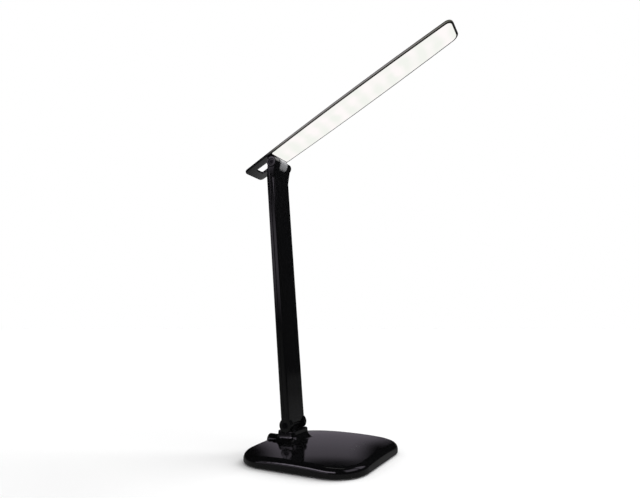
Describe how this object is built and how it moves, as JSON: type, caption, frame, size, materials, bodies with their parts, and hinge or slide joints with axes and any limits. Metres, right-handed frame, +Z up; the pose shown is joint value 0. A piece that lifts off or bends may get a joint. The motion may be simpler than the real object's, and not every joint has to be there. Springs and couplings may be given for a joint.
{
  "type": "table lamp",
  "caption": "Folding LED table lamp in gloss black: pillow-topped base with a touch dimmer and a rear power inlet, flat hinged arm, and a thin tilting head with a loop behind its hinge.",
  "frame": {"origin": "centre of the base's underside, on the table", "axes": "+X forward, the way the head reaches; +Y along both hinge axes; +Z up"},
  "size_m": [0.2578, 0.1456, 0.4499],
  "materials": {
    "gloss_black": "polished black ABS",
    "black_plastic": "fine-grained black ABS",
    "grey_plastic": "smooth dark grey ABS",
    "rubber": "matte",
    "steel": "zinc plated",
    "leaf_steel": "satin black",
    "brass": "bare",
    "pin_metal": "nickel plated",
    "diffuser": "opal acrylic",
    "board": "green solder mask",
    "led_board": "white solder mask",
    "component": "moulded",
    "led_cool": "cool white phosphor",
    "led_warm": "warm white phosphor",
    "lead": "flat two-core lead"
  },
  "bodies": {
    "base": {"base_cover": "gloss_black", "base_plate": "black_plastic", "ballast_plate": "steel", "base_pad": "rubber", "base_screws": "steel", "control_board": "board", "board_spacers": "component", "board_parts": "component", "board_screws": "steel", "touch_springs": "brass", "power_jack": "black_plastic", "jack_pin": "pin_metal", "base_knuckle": "leaf_steel", "knuckle_screws": "steel"},
    "arm": {"lower_shaft": "steel", "lower_washers": "steel", "lower_caps": "leaf_steel", "arm_front_shell": "gloss_black", "arm_rear_shell": "gloss_black", "arm_spine": "steel", "arm_lead": "lead", "arm_screws": "leaf_steel", "upper_shaft": "steel", "upper_washers": "steel", "upper_caps": "leaf_steel"},
    "head": {"head_knuckle": "grey_plastic", "head_screws": "steel", "head_frame": "gloss_black", "head_cover": "gloss_black", "diffuser": "diffuser", "led_board": "led_board", "leds_cool": "led_cool", "leds_warm": "led_warm"}
  },
  "joints": [
    {"name": "arm_fold", "type": "hinge", "parent": "base", "child": "arm", "pos_m": [-0.0375, 0, 0.0305], "axis": [0, 1, 0], "range_deg": [-8, 91]},
    {"name": "head_tilt", "type": "hinge", "parent": "arm", "child": "head", "pos_m": [-0.06034, 0, 0.33055], "axis": [0, 1, 0], "range_deg": [-62, 111]}
  ]
}
